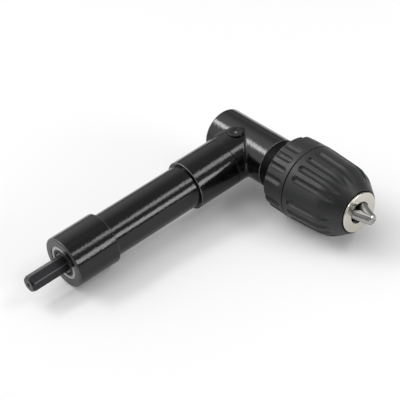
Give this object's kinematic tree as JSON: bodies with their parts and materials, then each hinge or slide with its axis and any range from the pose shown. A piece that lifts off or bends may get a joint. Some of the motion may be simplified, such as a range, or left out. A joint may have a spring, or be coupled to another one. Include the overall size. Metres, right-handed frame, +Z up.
{
  "type": "right angle drill attachment",
  "caption": "Right angle drill attachment: a hexagonal shank drives mitre gears in a painted head that turn a keyless jaw chuck.",
  "frame": {"origin": "centre of the rear collar's end face, on the input axis, where the drive shank comes out", "axes": "+X along the input axis from the shank towards the gear head, -Y along the output axis towards the chuck's nose, +Z up, out of the plane of the two axes, on the side of the plug"},
  "size_m": [0.1662, 0.1109, 0.0414],
  "materials": {
    "painted_black": "gloss black paint with a fine hammer texture",
    "plug_black": "gloss black",
    "cap_black": "satin black",
    "seal_rubber": "black nitrile",
    "bronze": "sintered bronze",
    "bearing_steel": "ground and polished",
    "shield_steel": "pressed sheet steel",
    "spring_steel": "hardened, oiled",
    "blackened_steel": "black oxide, satin",
    "gear_steel": "machined, oiled",
    "chuck_steel": "turned",
    "chuck_plastic": "moulded nylon, matte",
    "nickel": "satin nickel plate",
    "jaw_steel": "ground, satin"
  },
  "bodies": {
    "housing": {"rear_collar": "painted_black", "extension_tube": "painted_black", "front_collar": "painted_black", "gear_head": "painted_black", "grease_plug": "plug_black", "front_cap": "cap_black", "spindle_seal": "seal_rubber", "tail_bush": "bronze", "rear_bearing_shields": "shield_steel", "rear_bearing_outer_ring": "bearing_steel", "rear_bearing_balls": "bearing_steel", "front_bearing_outer_ring": "bearing_steel", "front_bearing_balls": "bearing_steel", "spindle_bearing_outer_ring": "bearing_steel", "spindle_bearing_balls": "bearing_steel", "bearing_circlip": "spring_steel"},
    "drive_shaft": {"input_shaft": "blackened_steel", "drive_pinion": "gear_steel", "pinion_pin": "spring_steel", "rear_bearing_inner_ring": "bearing_steel", "front_bearing_inner_ring": "bearing_steel", "shaft_circlip": "spring_steel"},
    "spindle": {"output_spindle": "gear_steel", "output_gear": "gear_steel", "gear_pin": "spring_steel", "spindle_bearing_inner_ring": "bearing_steel", "chuck_body": "chuck_steel", "chuck_rear_ring": "chuck_plastic", "chuck_screw": "chuck_steel", "nose_ring": "nickel", "thrust_washer": "spring_steel", "thrust_balls": "bearing_steel"},
    "sleeve": {"grip_sleeve": "chuck_plastic", "split_nut": "gear_steel", "nut_band": "spring_steel"},
    "jaw_a": {"jaw_1": "jaw_steel"},
    "jaw_b": {"jaw_2": "jaw_steel"},
    "jaw_c": {"jaw_3": "jaw_steel"}
  },
  "joints": [
    {"name": "output_spin", "type": "hinge", "parent": "housing", "child": "spindle", "pos_m": [0.1245, 0, 0], "axis": [0, -1, 0], "continuous": true},
    {"name": "input_spin", "type": "hinge", "parent": "housing", "child": "drive_shaft", "pos_m": [0, 0, 0], "axis": [1, 0, 0], "continuous": true},
    {"name": "sleeve_turn", "type": "hinge", "parent": "spindle", "child": "sleeve", "pos_m": [0.1245, -0.06, 0], "axis": [0, -1, 0], "range_deg": [0, 3174.6]},
    {"name": "jaw_slide_a", "type": "slide", "parent": "spindle", "child": "jaw_a", "axis": [0.2223, 0.9511, 0.2147], "range_m": [0, 0.01765]},
    {"name": "jaw_slide_b", "type": "slide", "parent": "spindle", "child": "jaw_b", "axis": [0.0748, 0.9511, -0.2998], "range_m": [0, 0.01765]},
    {"name": "jaw_slide_c", "type": "slide", "parent": "spindle", "child": "jaw_c", "axis": [-0.297, 0.9511, 0.0852], "range_m": [0, 0.01765]}
  ],
  "couplings": [
    {"joint": "input_spin", "follows": "output_spin", "ratio": 1},
    {"joint": "jaw_slide_a", "follows": "sleeve_turn", "m_per_rad": 0.00031831},
    {"joint": "jaw_slide_b", "follows": "sleeve_turn", "m_per_rad": 0.00031831},
    {"joint": "jaw_slide_c", "follows": "sleeve_turn", "m_per_rad": 0.00031831}
  ]
}
